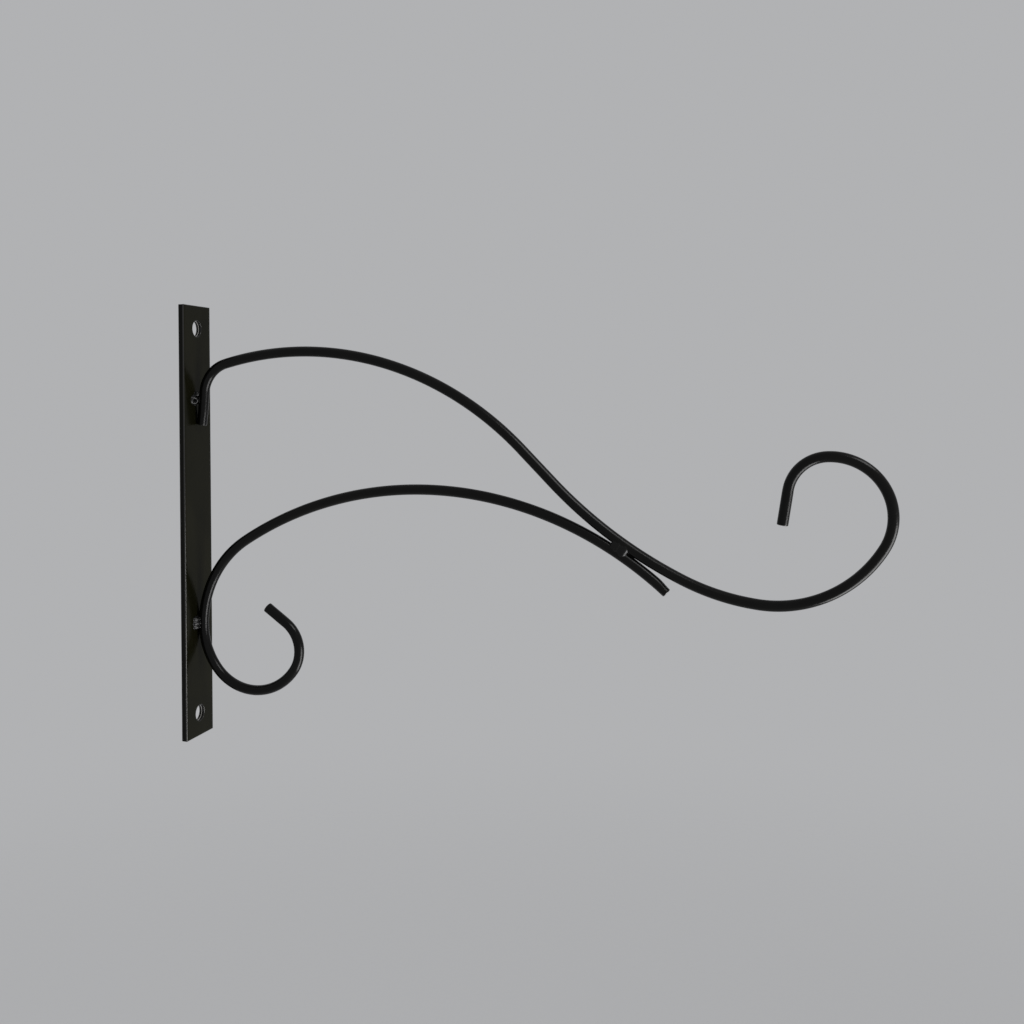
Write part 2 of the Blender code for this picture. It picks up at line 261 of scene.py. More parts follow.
# Shares of each layer in the coats' relief and gloss
PEEL_SHARE = 0.7
GRAIN_SHARE = 0.22
NIB_SHARE = 0.5
BROAD_GLOSS_SHARE = 0.75
FINE_GLOSS_SHARE = 0.25
DULLING_SHARE = 0.25
RUB_PATCH_SCALE = 55.0

SOCKET_KINDS = {
    "value": "NodeSocketFloat",
    "colour": "NodeSocketColor",
    "place": "NodeSocketVector",
}


# Bend schedules

def straight(length):
    """A straight run of bar."""
    return (length, 0.0)


def bend(radius, turn):
    """A bend of the bar's centre line; a positive turn goes to the left of the heading."""
    return (radius * math.radians(abs(turn)), turn)


def advance(point, heading, length, turn):
    """The point and heading at the end of a run of the given length and turn."""
    half = math.radians(turn) / 2
    chord = length * math.sin(half) / half if turn else length
    aim = math.radians(heading) + half
    step = Vector((math.cos(aim), 0.0, math.sin(aim))) * chord
    return point + step, heading + turn


def left_of(heading):
    """The unit vector square to a heading, on its left in the plane of the bars."""
    angle = math.radians(heading)
    return Vector((-math.sin(angle), 0.0, math.cos(angle)))


def along(heading):
    """The unit vector of a heading in the plane of the bars."""
    angle = math.radians(heading)
    return Vector((math.cos(angle), 0.0, math.sin(angle)))


def follow(start, heading, schedule):
    """Stations along a bend schedule: centre-line point, heading and curvature."""
    point = Vector(start)
    line = [(point, heading, 0.0)]
    for length, turn in schedule:
        count = math.ceil(length / BAR_RING_STEP)
        curvature = math.radians(abs(turn)) / length
        for _ in range(count):
            point, heading = advance(point, heading, length / count, turn / count)
            line.append((point, heading, curvature))
    return line


def arm_start():
    """The leg's lower end, whose wall side is seated on the plate."""
    x = PLATE_THICKNESS - SEAT_SINK + BAR_RADIUS * math.cos(math.radians(LEG_LEAN_TURN))
    return Vector((x, 0.0, PLATE_CORNER.z - LEG_END_DROP)), 90 - LEG_LEAN_TURN


def arm_back():
    """Runs of the hook arm from the leg to the foot of the slope."""
    return [straight(LEG_LENGTH), bend(*ARM_ELBOW), bend(*ARM_CREST), straight(ARM_SLOPE_LENGTH)]


def arm_front():
    """Runs of the hook arm from the saddle that the brace touches to the hook's tip."""
    bends = [bend(*size) for size in (ARM_SADDLE, HOOK_THROAT, HOOK_BOWL, HOOK_CROWN, HOOK_NOSE)]
    return bends + [straight(HOOK_TIP_LENGTH)]


def joint_on_arm():
    """The arm's centre-line point and heading where the brace touches it."""
    point, heading = arm_start()
    for length, turn in arm_back():
        point, heading = advance(point, heading, length, turn)
    length, turn = bend(*ARM_SADDLE)
    return advance(point, heading, length * BRACE_JOINT_SHARE, turn * BRACE_JOINT_SHARE)


def brace_seat():
    """The brace's centre-line point where it touches the plate."""
    x = PLATE_THICKNESS - SEAT_SINK + BAR_RADIUS
    return Vector((x, 0.0, BRACE_SEAT_RISE - PLATE_CORNER.z))


def brace_rise():
    """Runs of the brace from its seat up to the tail, tangent beneath the arm at the joint."""
    joint, heading = joint_on_arm()
    normal = left_of(heading)
    touch = joint - normal * (2 * BAR_RADIUS - SEAT_SINK)
    shoulder = brace_seat() + Vector((BRACE_SHOULDER_RADIUS, 0.0, 0.0))
    span = touch - shoulder
    long_radius = (span.length_squared - BRACE_SHOULDER_RADIUS**2) / (
        2 * (span.dot(normal) - BRACE_SHOULDER_RADIUS)
    )
    meeting = (shoulder - touch + normal * long_radius).normalized()
    shoulder_turn = math.degrees(math.atan2(meeting.z, -meeting.x))
    long_turn = 90 - shoulder_turn - heading + BRACE_OVERRUN_TURN
    return [
        bend(BRACE_SHOULDER_RADIUS, -shoulder_turn),
        bend(long_radius, -long_turn),
        straight(BRACE_TAIL_LENGTH),
    ]


def arm_line():
    """Stations of the hook arm, from the leg's end to the hook's tip."""
    return follow(*arm_start(), arm_back() + arm_front())


def brace_line():
    """Stations of the brace, from the tail back over the seat to the curl's tip."""
    rise = follow(brace_seat(), 90, brace_rise())
    back = [(point, heading - 180, curvature) for point, heading, curvature in reversed(rise)]
    curls = [bend(*size) for size in (CURL_OUTER, CURL_MIDDLE, CURL_INNER)]
    curl = follow(brace_seat(), -90, curls + [straight(CURL_TIP_LENGTH)])
    return back + curl[1:]


# Mesh work

def smooth_step(share):
    """A share from 0 to 1, eased at both ends."""
    share = min(max(share, 0.0), 1.0)
    return share * share * (3 - 2 * share)


def between(first, second, share):
    """The value a share of the way from the first to the second."""
    return first + (second - first) * share


def swell(place):
    """Soft noise at a place, from about 0 to 1."""
    return 0.5 + 0.5 * noise.noise(place)


def skin(work, rows, edges, closed=True):
    """Quads over rows of points; each row carries its share of worked edge."""
    layer = work.verts.layers.float["edge"]
    made = []
    for row, edge in zip(rows, edges):
        verts = [work.verts.new(point) for point in row]
        for vert in verts:
            vert[layer] = edge
        made.append(verts)
    count = len(rows[0])
    spans = range(count if closed else count - 1)
    for low, high in zip(made, made[1:]):
        for i in spans:
            j = (i + 1) % count
            work.faces.new((low[i], low[j], high[j], high[i]))


def new_work():
    """An empty mesh to build in, with its worked-edge layer."""
    work = bmesh.new()
    work.verts.layers.float.new("edge")
    return work


def wavy(work, depth, length, seed):
    """Sink the skin by up to the given depth in soft, irregular waves."""
    work.normal_update()
    shift = Vector((seed, -seed, seed / 2))
    moves = []
    for vert in work.verts:
        moves.append(vert.normal * (depth * swell(vert.co / length + shift)))
    for vert, move in zip(work.verts, moves):
        vert.co -= move


def seal(work):
    """Join rows that meet and turn every face outwards."""
    bmesh.ops.remove_doubles(work, verts=work.verts, dist=JOIN_DISTANCE)
    bmesh.ops.recalc_face_normals(work, faces=work.faces)


def mesh_from(work, name):
    """A finished mesh, whose work is then freed."""
    mesh = bpy.data.meshes.new(name)
    work.to_mesh(mesh)
    work.free()
    return mesh


def smooth_piece(name, work, material):
    """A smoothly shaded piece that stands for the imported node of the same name."""
    for face in work.faces:
        face.smooth = True
    dressed(name, mesh_from(work, name + "_skin"), material)


def dressed(name, mesh, material):
    """A piece with its material, on the root body, that hides the imported node of the same name.
    """
    piece = bpy.data.objects.new(name + "_piece", mesh)
    bpy.context.scene.collection.objects.link(piece)
    mesh.materials.append(material)
    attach(piece, "root")
    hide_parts(name)
    return piece


# Bars

def bar_ring(point, heading, squeeze, shift, tilt, radius):
    """One ring of the bar: squeezed in the bend's plane, shifted to its left and tilted."""
    side = left_of(heading)
    lean = along(heading) * math.tan(math.radians(tilt))
    ring = []
    for i in range(BAR_SIDES):
        angle = 2 * math.pi * i / BAR_SIDES
        level = math.cos(angle) * radius * (1 - squeeze)
        across = math.sin(angle) * radius * (1 + squeeze / 2)
        ring.append(point + side * (level + shift) + lean * level + Vector((0.0, across, 0.0)))
    return ring


def ease_from_end(point, end, reach):
    """1 at a bar's end, falling smoothly to 0 at the given reach from it."""
    return smooth_step(1 - (point - end).length / reach)


def centre_of(row):
    """The middle of a ring of points."""
    return sum(row, Vector()) / len(row)


def cap_rows(ring, outward):
    """Rows that round off a bar's end and close it over an uneven cut face."""
    centre = centre_of(ring)
    rows = []
    for i in range(1, len(CAP_EDGES) + 1):
        turn = math.radians(90 * i / len(CAP_EDGES))
        inset = TIP_EDGE_RADIUS * (1 - math.cos(turn))
        drop = outward * TIP_EDGE_RADIUS * (1 - math.sin(turn))
        shrunk = [between(point, centre, inset / (point - centre).length) for point in ring]
        rows.append([point - drop for point in shrunk])
    face = rows[-1]
    for share in CAP_RING_SHARES:
        row = []
        for point in face:
            spot = between(centre, point, share)
            relief = CAP_RELIEF * noise.noise(spot / BAR_RADIUS * CAP_RELIEF_WAVES)
            row.append(spot - outward * (CAP_RELIEF * (1 - share) + abs(relief)))
        rows.append(row)
    rows.append([centre_of(rows[-1])] * len(ring))
    return rows


def bar_rows(line, slant, pinch):
    """Rings of a bar along its line, pinched and slanted towards its sheared start."""
    start = line[0][0]
    rows = []
    for point, heading, curvature in line:
        pinched = pinch * ease_from_end(point, start, SHEAR_PINCH_LENGTH)
        squeeze = BEND_FLATTENING_SHARE * curvature * BAR_RADIUS + pinched
        tilt = slant * ease_from_end(point, start, 2 * BAR_RADIUS)
        rows.append(bar_ring(point, heading, squeeze, BAR_RADIUS * pinched, tilt, BAR_RADIUS))
    return rows


def with_cap(rows, out):
    """Rows whose last ones make room for a rounded cap, and the cap's rows."""
    end_ring = rows[-1]
    room = TIP_EDGE_RADIUS * TIP_TRIM_SHARE
    kept = [row for row in rows if (centre_of(row) - centre_of(end_ring)).length > room]
    seat = [point - out * TIP_EDGE_RADIUS for point in end_ring]
    return kept + [seat], cap_rows(end_ring, out)


def make_bar(name, line, slant, pinch, material, seed):
    """One bent bar with a sheared end at its start and a sawn tip at its end."""
    first_heading = line[0][1]
    last_heading = line[-1][1]
    rows, end_cap = with_cap(bar_rows(line, slant, pinch), along(last_heading))
    rows, start_cap = with_cap(rows[::-1], -along(first_heading))
    cap_edges = [*CAP_EDGES] + [CAP_FACE_EDGE] * (len(end_cap) - len(CAP_EDGES))
    edges = cap_edges[::-1] + [PLAIN] * len(rows) + cap_edges
    work = new_work()
    skin(work, start_cap[::-1] + rows[::-1] + end_cap, edges)
    seal(work)
    wavy(work, BAR_WAVE_DEPTH, BAR_WAVE_LENGTH, seed)
    smooth_piece(name, work, material)


# Wall plate

def face_half_width():
    """Half the width of the plate's flat face, inside its rounded edges."""
    return PLATE_CORNER.y - PLATE_EDGE_RADIUS


def face_half_height():
    """Half the height of the plate's flat face, inside its rounded edges."""
    return PLATE_CORNER.z - PLATE_EDGE_RADIUS


def face_columns():
    """Y positions of the face's columns, from the +Y edge across."""
    wide = face_half_width()
    return [between(wide, -wide, i / FACE_COLUMNS) for i in range(FACE_COLUMNS + 1)]


def face_levels():
    """Z positions of the face's rows between the two screw-hole fields, from the lowest up."""
    low = 2 * SCREW_HOLE_RISE - face_half_height()
    count = math.ceil(2 * low / FACE_ROW_STEP)
    return [between(-low, low, i / count) for i in range(count + 1)]


def field_border(hole_z):
    """Points round the field about a screw hole, counter-clockwise from its upper +Y corner."""
    wide = face_half_width()
    tall = face_half_height() - SCREW_HOLE_RISE
    corners = [(wide, tall), (-wide, tall), (-wide, -tall), (wide, -tall)]
    points = []
    for i, (y, z) in enumerate(corners):
        next_y, next_z = corners[(i + 1) % len(corners)]
        for j in range(FACE_COLUMNS):
            share = j / FACE_COLUMNS
            points.append((between(y, next_y, share), hole_z + between(z, next_z, share)))
    return points


def hole_circle(hole_z, radius, x):
    """Points of a circle about a screw hole, in step with its field's border."""
    count = 4 * FACE_COLUMNS
    angles = [math.radians(45) + 2 * math.pi * i / count for i in range(count)]
    return [Vector((x, radius * math.cos(a), hole_z + radius * math.sin(a))) for a in angles]


def hole_field(work, hole_z, rim_radius, x):
    """The flat face between a hole's rim and its field's border."""
    inner = hole_circle(hole_z, SCREW_HOLE_RADIUS + rim_radius, x)
    outer = [Vector((x, y, z)) for y, z in field_border(hole_z)]
    rows = [[between(a, b, share) for a, b in zip(inner, outer)] for share in FACE_RING_SHARES]
    skin(work, rows, [PLAIN] * len(rows))


def quarter_round(radius, steps):
    """Steps of a quarter-round: how far across and how far down each one lies."""
    turns = [math.radians(90 * i / steps) for i in range(steps + 1)]
    return [(radius * math.sin(turn), radius * (1 - math.cos(turn))) for turn in turns]


def bore_steps():
    """Steps down a hole's bore: share of the depth, rise into the hole and worked edge."""
    land = HOLE_LAND_SHARE
    return [
        (HOLE_UPPER_ROW_SHARE, 0, BORE_EDGE),
        (land - HOLE_RIDGE_FOOT_SHARE, 0, BORE_EDGE),
        (land - HOLE_RIDGE_HALF_SHARE, HOLE_RIDGE, PAINTED_GLINT_EDGE),
        (land + HOLE_RIDGE_HALF_SHARE, HOLE_RIDGE, PAINTED_GLINT_EDGE),
        (land + HOLE_RIDGE_FOOT_SHARE, 0, BORE_EDGE),
    ]


def hole_wall(work, hole_z):
    """A hole's softened front rim, its bore with the punch's ridge, which carries a painted
    highlight, and its back rim.
    """
    steps = []
    for across, down in quarter_round(HOLE_RIM_RADIUS, HOLE_RIM_STEPS):
        radius = SCREW_HOLE_RADIUS + HOLE_RIM_RADIUS - across
        steps.append((radius, PLATE_THICKNESS - down, RIM_EDGE if down else PLAIN))
    for share, rise, edge in bore_steps():
        steps.append((SCREW_HOLE_RADIUS - rise, PLATE_THICKNESS * (1 - share), edge))
    for across, down in reversed(quarter_round(HOLE_BACK_RIM_RADIUS, HOLE_BACK_RIM_STEPS)):
        radius = SCREW_HOLE_RADIUS + HOLE_BREAKOUT + HOLE_BACK_RIM_RADIUS - across
        steps.append((radius, down, RIM_EDGE if down else PLAIN))
    rows = [hole_circle(hole_z, radius, x) for radius, x, _ in steps]
    skin(work, rows, [edge for _, _, edge in steps])


def plate_outline():
    """Round the flat face: its border points, each with the way that faces out; corners fan out."""
    wide = face_half_width()
    tall = face_half_height()
    columns = face_columns()
    upper = [z for _, z in field_border(SCREW_HOLE_RISE)[FACE_COLUMNS:2 * FACE_COLUMNS]]
    levels = upper + face_levels()[::-1] + [-z for z in upper[::-1]]
    walks = [
        ([(y, tall) for y in columns], 90),
        ([(-wide, z) for z in levels], 180),
        ([(y, -tall) for y in reversed(columns)], 270),
        ([(wide, z) for z in reversed(levels)], 360),
    ]
    outline = []
    for points, facing in walks:
        outline += [(y, z, facing) for y, z in points]
        y, z = points[-1]
        for i in range(1, PLATE_CORNER_FACETS):
            outline.append((y, z, facing + 90 * i / PLATE_CORNER_FACETS))
    return outline


def side_profile():
    """Steps from the front face round to the back face: outward reach, X and worked edge."""
    steps = []
    for across, down in quarter_round(PLATE_EDGE_RADIUS, PLATE_EDGE_STEPS):
        steps.append((across, PLATE_THICKNESS - down, FULL_EDGE if down else PLAIN))
    for share in SIDE_ROW_SHARES:
        steps.append((PLATE_EDGE_RADIUS, PLATE_THICKNESS * (1 - share), SIDE_EDGE))
    for across, down in reversed(quarter_round(PLATE_EDGE_RADIUS, PLATE_BACK_EDGE_STEPS)):
        steps.append((across, down, RIM_EDGE if down else PLAIN))
    return steps


def shear_inset(x, y):
    """How far a sheared end lies inside its true height, at a depth and a place across."""
    depth = 1 - x / PLATE_THICKNESS
    breakout = SHEAR_BREAKOUT * max(0.0, depth - SHEAR_BURNISH_SHARE) / (1 - SHEAR_BURNISH_SHARE)
    place = Vector((y / PLATE_CORNER.y * SHEAR_WAVES_ACROSS, depth * SHEAR_WAVES_DEEP, 0.0))
    return breakout + SHEAR_WANDER * swell(place) * smooth_step(depth / SHEAR_EASE_SHARE)


def strip_inset(x, z):
    """How far a rolled edge lies inside its true width, at a depth and a height."""
    return STRIP_WANDER * swell(Vector((z / PLATE_CORNER.y, x / PLATE_THICKNESS, STRIP_SEED)))


def side_point(y, z, facing, reach, x):
    """A point of the narrow sides, out from the face's border less what the edge's wander takes."""
    bite = reach / PLATE_EDGE_RADIUS
    out_y = math.cos(math.radians(facing)) * (reach - strip_inset(x, z) * bite)
    out_z = math.sin(math.radians(facing)) * (reach - shear_inset(x, y) * bite)
    return Vector((x, y + out_y, z + out_z))


def plate_sides(work):
    """The plate's rounded edges and its four narrow sides."""
    outline = plate_outline()
    profile = side_profile()
    rows = [[side_point(*spot, reach, x) for spot in outline] for reach, x, _ in profile]
    skin(work, rows, [edge for _, _, edge in profile])


def face_grid(work, x):
    """The flat face between the two screw-hole fields."""
    rows = [[Vector((x, y, z)) for y in face_columns()] for z in face_levels()]
    skin(work, rows, [PLAIN] * len(rows), closed=False)


def make_wall_plate(material):
    """The flat strip, sheared to length and punched twice."""
    work = new_work()
    back_rim = HOLE_BREAKOUT + HOLE_BACK_RIM_RADIUS
    for x, rim in ((PLATE_THICKNESS, HOLE_RIM_RADIUS), (0.0, back_rim)):
        face_grid(work, x)
        for hole_z in (SCREW_HOLE_RISE, -SCREW_HOLE_RISE):
            hole_field(work, hole_z, rim, x)
    for hole_z in (SCREW_HOLE_RISE, -SCREW_HOLE_RISE):
        hole_wall(work, hole_z)
    plate_sides(work)
    seal(work)
    wavy(work, PLATE_WAVE_DEPTH, PLATE_WAVE_LENGTH, PLATE_SEED)
    smooth_piece("wall_plate", work, material)


# Weld beads

def add_lump(work, centre, size, turn):
    """A squashed and turned ball of weld metal, which ends inside the plate."""
    shape = Matrix.Translation(centre) @ turn @ Matrix.Diagonal((*size, 1.0))
    made = bmesh.ops.create_icosphere(
        work, subdivisions=LUMP_SUBDIVISIONS, radius=1.0, matrix=shape,
    )
    for vert in made["verts"]:
        vert.co.x = max(vert.co.x, PLATE_THICKNESS / 2)


def turned_to(way):
    """The turn that sets a lump's thickness along the given way and keeps it upright."""
    return way.to_track_quat("X", "Z").to_matrix().to_4x4()


def along_bar(heading):
    """The turn that lays a lump along a bar."""
    return Matrix.Rotation(math.radians(90 - heading), 4, "Y")


def add_bar_patch(work, line, centre, reach):
    """A short core of a bar, a little under its skin, for the weld to wet onto."""
    near = [station for station in line if (station[0] - centre).length < reach]
    radius = BAR_RADIUS - WELD_SINK
    rows = [bar_ring(point, heading, 0.0, 0.0, 0.0, radius) for point, heading, _ in near]
    first = [centre_of(rows[0])] * BAR_SIDES
    last = [centre_of(rows[-1])] * BAR_SIDES
    rows = [first] + rows + [last]
    skin(work, rows, [PLAIN] * len(rows))


def add_plate_patch(work, centre, reach):
    """A thin wafer of the plate, a little under its face, for the weld to wet onto."""
    size = Vector((PLATE_THICKNESS / 2, 2 * reach, 2 * reach))
    middle = Vector((PLATE_THICKNESS - WELD_SINK - size.x / 2, centre.y, centre.z))
    shape = Matrix.Translation(middle) @ Matrix.Diagonal((*size, 1.0))
    bmesh.ops.create_cube(work, size=1.0, matrix=shape)


def fused_bead(name, work, material):
    """Melt a bead's lumps and patches into one relaxed skin."""
    seal(work)
    rough = bpy.data.objects.new(name + "_rough", mesh_from(work, name + "_rough"))
    bpy.context.scene.collection.objects.link(rough)
    melt = rough.modifiers.new("Melt", "REMESH")
    melt.mode = "VOXEL"
    melt.voxel_size = WELD_VOXEL
    melt.use_smooth_shade = True
    relax = rough.modifiers.new("Relax", "SMOOTH")
    relax.iterations = WELD_RELAX_STEPS
    graph = bpy.context.evaluated_depsgraph_get()
    melted = bpy.data.meshes.new_from_object(rough.evaluated_get(graph))
    melted.name = name + "_skin"
    bpy.data.objects.remove(rough, do_unlink=True)
    return dressed(name, melted, material)


def crater_profile(away):
    """The crater's rise or fall, in depths, at a distance in radii from its middle."""
    bowl = CRATER_BOWL_SHARE * math.exp(-away * away)
    core = CRATER_CORE_SHARE * math.exp(-((away / CRATER_CORE_WIDTH_SHARE) ** 2))
    from_lip = away - CRATER_LIP_PLACE_SHARE
    lip = CRATER_LIP_SHARE * math.exp(-from_lip * from_lip * CRATER_LIP_SHARPNESS)
    return lip - bowl - core


def crater(piece, centre, axis):
    """Press the pit that the arc left as it was broken off, with a raised lip round it."""
    for vert in piece.data.vertices:
        offset = vert.co - centre
        height = offset.dot(axis)
        if height < 0:
            continue
        clear = smooth_step((vert.co.x - PLATE_THICKNESS) / CRATER_RADIUS)
        away = (offset - axis * height).length / CRATER_RADIUS
        vert.co += axis * (CRATER_DEPTH * clear * crater_profile(away))


def make_upper_plate_weld(material):
    """A short round bead with its crater, and a smaller one above it, beside the arm's leg."""
    start, heading = arm_start()
    foot = start + along(heading) * UPPER_BEAD_RISE
    corner = Vector((PLATE_THICKNESS, 0.0, foot.z))
    middle = corner + UPPER_BEAD_PLACE
    turn = turned_to(UPPER_BEAD_FACE)
    work = new_work()
    add_lump(work, middle, UPPER_BEAD_SIZE, turn)
    add_lump(work, corner + UPPER_DAB_PLACE, UPPER_DAB_SIZE, turn)
    add_bar_patch(work, arm_line(), foot, UPPER_BEAD_SIZE.z * UPPER_BAR_PATCH_SHARE)
    add_plate_patch(work, middle, UPPER_BEAD_SIZE.z * UPPER_PLATE_PATCH_SHARE)
    piece = fused_bead("upper_plate_weld", work, material)
    crater(piece, middle, UPPER_BEAD_FACE)


def make_lower_plate_weld(material):
    """Three stacked ripples between the plate and the brace at its seat."""
    seat = brace_seat()
    middle = Vector((PLATE_THICKNESS, 0.0, seat.z + LOWER_BEAD_RISE)) + LOWER_BEAD_PLACE
    work = new_work()
    for place, share in LOWER_RIPPLES:
        spot = middle + Vector((0.0, 0.0, place * LOWER_RIPPLE_PITCH))
        add_lump(work, spot, LOWER_BEAD_SIZE * share, turned_to(LOWER_BEAD_FACE))
    add_bar_patch(work, brace_line(), seat, LOWER_BEAD_SIZE.z * LOWER_BAR_PATCH_SHARE)
    add_plate_patch(work, middle, LOWER_BEAD_SIZE.z * LOWER_PLATE_PATCH_SHARE)
    fused_bead("lower_plate_weld", work, material)


def make_arm_brace_weld(material):
    """A rippled bead over the groove between the arm and the brace."""
    joint, heading = joint_on_arm()
    groove = joint - left_of(heading) * (BAR_RADIUS - SEAT_SINK / 2)
    centre = groove - along(heading) * JOINT_BEAD_SETBACK
    work = new_work()
    for place, share, rise in JOINT_RIPPLES:
        spot = centre + along(heading) * (place * JOINT_BEAD_LENGTH)
        spot.y -= BAR_RADIUS * rise
        add_lump(work, spot, JOINT_LUMP_SIZE * share, along_bar(heading))
    brace_joint = joint - left_of(heading) * 2 * BAR_RADIUS
    add_bar_patch(work, arm_line(), joint, JOINT_BEAD_LENGTH)
    add_bar_patch(work, brace_line(), brace_joint, JOINT_BEAD_LENGTH)
    fused_bead("arm_brace_weld", work, material)


# Node helpers

def place_node(tree, kind, inputs=None, **settings):
    """A node with its settings, and with the values or links of its inputs."""
    item = tree.nodes.new(kind)
    for name, value in settings.items():
        setattr(item, name, value)
    for name, value in (inputs or {}).items():
        socket = item.inputs[name]
        if isinstance(value, bpy.types.NodeSocket):
            tree.links.new(value, socket)
        else:
            socket.default_value = value
    return item


def calc(tree, operation, *values):
    """Values taken one after another through Math nodes, such as a sum or a product."""
    result = values[0]
    for value in values[1:]:
        inputs = {0: result, 1: value}
        result = place_node(tree, "ShaderNodeMath", inputs, operation=operation).outputs[0]
    return result


def mask_between(tree, value, band):
    """A mask that eases from 0 at the band's first value to 1 at its second."""
    inputs = {"Value": value, "From Min": band[0], "From Max": band[1]}
    item = place_node(tree, "ShaderNodeMapRange", inputs, interpolation_type="SMOOTHSTEP")
    return item.outputs["Result"]


def blend(tree, factor, first, second):
    """A colour between two others."""
    inputs = {0: factor, 6: first, 7: second}
    return place_node(tree, "ShaderNodeMix", inputs, data_type="RGBA").outputs[2]


def cloud(tree, place, scale, noise_kind):
    """A noise value at a place, with the detail and roughness of its kind."""
    detail, roughness = noise_kind
    inputs = {"Vector": place, "Scale": scale, "Detail": detail, "Roughness": roughness}
    return place_node(tree, "ShaderNodeTexNoise", inputs).outputs["Fac"]


def new_group(name, inputs, outputs):
    """A shader node group with named sockets, and its inner entry and exit."""
    group = bpy.data.node_groups.new(name, "ShaderNodeTree")
    for label, kind in inputs:
        group.interface.new_socket(label, in_out="INPUT", socket_type=SOCKET_KINDS[kind])
    for label, kind in outputs:
        group.interface.new_socket(label, in_out="OUTPUT", socket_type=SOCKET_KINDS[kind])
    entry = group.nodes.new("NodeGroupInput").outputs
    leave = group.nodes.new("NodeGroupOutput").inputs
    return group, entry, leave


def use_group(tree, group, inputs):
    """A node group placed in a material with its own values."""
    return place_node(tree, "ShaderNodeGroup", inputs, node_tree=group).outputs


# Finishes shared by the coats

def powder_skin_group():
    """Orange peel, a fine grain and a few dust nibs under the coat, as a height."""
    group, entry, leave = new_group(
        "powder_skin",
        [("Place", "place"), ("Peel Scale", "value"), ("Grain Scale", "value"),
         ("Nib Scale", "value")],
        [("Height", "value")],
    )
    peel = cloud(group, entry["Place"], entry["Peel Scale"], PEEL_NOISE)
    fine = cloud(group, entry["Place"], entry["Grain Scale"], GRAIN_NOISE)
    inputs = {"Vector": entry["Place"], "Scale": entry["Nib Scale"]}
    cells = place_node(group, "ShaderNodeTexVoronoi", inputs).outputs
    pick = place_node(group, "ShaderNodeSeparateColor", {"Color": cells["Color"]}).outputs["Red"]
    chosen = mask_between(group, pick, NIB_CHOICE)
    nib = mask_between(group, cells["Distance"], NIB_REACH)
    peel_part = calc(group, "MULTIPLY", peel, PEEL_SHARE)
    fine_part = calc(group, "MULTIPLY", fine, GRAIN_SHARE)
    nib_part = calc(group, "MULTIPLY", nib, chosen, NIB_SHARE)
    group.links.new(calc(group, "ADD", peel_part, fine_part, nib_part), leave["Height"])
    return group


def tone_drift_group():
    """A slow drift between two near tones of one coat."""
    group, entry, leave = new_group(
        "tone_drift",
        [("Place", "place"), ("Scale", "value"), ("Cool", "colour"), ("Warm", "colour")],
        [("Colour", "colour")],
    )
    drift = cloud(group, entry["Place"], entry["Scale"], TONE_NOISE)
    share = mask_between(group, drift, TONE_SWING)
    group.links.new(blend(group, share, entry["Cool"], entry["Warm"]), leave["Colour"])
    return group


def gloss_drift_group():
    """Roughness that drifts where the coat flowed out more or less, broadly and finely."""
    group, entry, leave = new_group(
        "gloss_drift",
        [("Place", "place"), ("Broad Scale", "value"), ("Fine Scale", "value"),
         ("Glossy", "value"), ("Satin", "value")],
        [("Roughness", "value")],
    )
    broad = cloud(group, entry["Place"], entry["Broad Scale"], BROAD_GLOSS_NOISE)
    fine = cloud(group, entry["Place"], entry["Fine Scale"], FINE_GLOSS_NOISE)
    broad_part = calc(group, "MULTIPLY", broad, BROAD_GLOSS_SHARE)
    fine_part = calc(group, "MULTIPLY", fine, FINE_GLOSS_SHARE)
    share = mask_between(group, calc(group, "ADD", broad_part, fine_part), GLOSS_SWING)
    width = calc(group, "SUBTRACT", entry["Satin"], entry["Glossy"])
    rise = calc(group, "MULTIPLY", share, width)
    group.links.new(calc(group, "ADD", entry["Glossy"], rise), leave["Roughness"])
    return group


def thin_edge_group():
    """Where the coat drew thin over a worked edge: a browner, duller line, broken up."""
    group, entry, leave = new_group(
        "thin_edge",
        [("Colour", "colour"), ("Thin Colour", "colour"), ("Edge", "value"), ("Place", "place"),
         ("Scale", "value"), ("Amount", "value")],
        [("Colour", "colour"), ("Mask", "value")],
    )
    breaks = cloud(group, entry["Place"], entry["Scale"], THIN_NOISE)
    broken = mask_between(group, breaks, THIN_BREAKS)
    edge = mask_between(group, entry["Edge"], THIN_EDGES)
    mask = calc(group, "MULTIPLY", edge, broken, entry["Amount"])
    group.links.new(blend(group, mask, entry["Colour"], entry["Thin Colour"]), leave["Colour"])
    group.links.new(mask, leave["Mask"])
    return group


def settled_dust_group():
    """A breath of dust on what faces up, thicker in patches."""
    group, entry, leave = new_group(
        "settled_dust",
        [("Colour", "colour"), ("Dust Colour", "colour"), ("Place", "place"), ("Scale", "value"),
         ("Amount", "value")],
        [("Colour", "colour"), ("Mask", "value")],
    )
    facing = place_node(group, "ShaderNodeNewGeometry").outputs["Normal"]
    up = place_node(group, "ShaderNodeSeparateXYZ", {"Vector": facing}).outputs["Z"]
    drift = cloud(group, entry["Place"], entry["Scale"], DUST_NOISE)
    patch = mask_between(group, drift, DUST_PATCHES)
    slope = mask_between(group, up, DUST_SLOPE)
    mask = calc(group, "MULTIPLY", slope, patch, entry["Amount"])
    group.links.new(blend(group, mask, entry["Colour"], entry["Dust Colour"]), leave["Colour"])
    group.links.new(mask, leave["Mask"])
    return group


